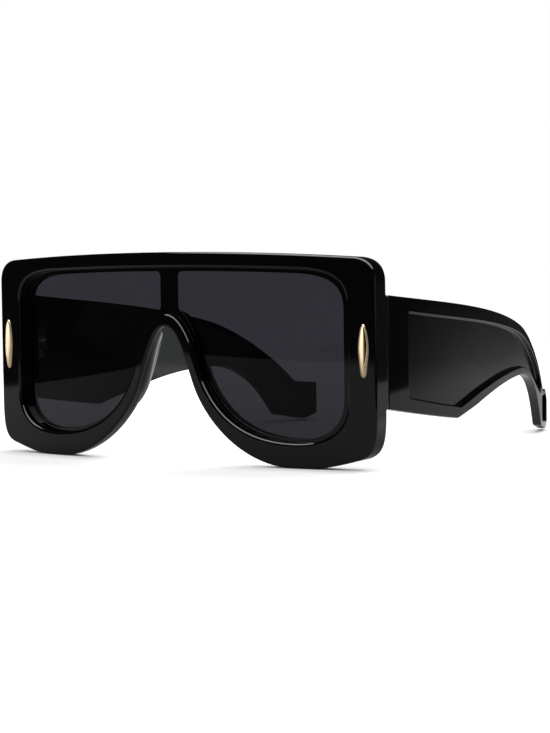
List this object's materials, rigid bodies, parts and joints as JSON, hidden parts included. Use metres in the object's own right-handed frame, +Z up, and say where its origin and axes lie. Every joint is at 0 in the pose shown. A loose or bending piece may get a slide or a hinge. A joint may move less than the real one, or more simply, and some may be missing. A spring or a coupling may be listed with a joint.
{
  "type": "oversized sunglasses",
  "caption": "Oversized black sunglasses with a flat-topped shield front, grey lenses, gold almond accents and wide folding temples.",
  "frame": {"origin": "middle of the underside of the whole object's box, with the temples open, on the surface that it rests on", "axes": "+X toward the wearer's left, +Y from the front toward the temple tips, +Z up"},
  "size_m": [0.1518, 0.162, 0.067],
  "materials": {
    "black_acetate": "polished, with rounded edges",
    "grey_lens": "tinted, see-through, polished",
    "gold_metal": "polished pale gold",
    "hinge_steel": "plain"
  },
  "bodies": {
    "front": {"front_frame": "black_acetate", "left_lens": "grey_lens", "right_lens": "grey_lens", "left_nose_pad": "black_acetate", "right_nose_pad": "black_acetate", "left_accent": "gold_metal", "right_accent": "gold_metal", "left_front_hinge": "hinge_steel", "right_front_hinge": "hinge_steel", "left_front_hinge_screws": "hinge_steel", "right_front_hinge_screws": "hinge_steel", "left_hinge_screw": "hinge_steel", "right_hinge_screw": "hinge_steel"},
    "left_temple_arm": {"left_temple": "black_acetate", "left_temple_hinge": "hinge_steel", "left_temple_hinge_screws": "hinge_steel", "left_temple_core": "hinge_steel"},
    "right_temple_arm": {"right_temple": "black_acetate", "right_temple_hinge": "hinge_steel", "right_temple_hinge_screws": "hinge_steel", "right_temple_core": "hinge_steel"}
  },
  "joints": [
    {"name": "left_temple_fold", "type": "hinge", "parent": "front", "child": "left_temple_arm", "pos_m": [0.0686, -0.064, 0.036], "axis": [0, -0.0436, 0.999], "range_deg": [0, 83.5]},
    {"name": "right_temple_fold", "type": "hinge", "parent": "front", "child": "right_temple_arm", "pos_m": [-0.0686, -0.064, 0.036], "axis": [0, 0.0436, -0.999], "range_deg": [0, 78]}
  ]
}
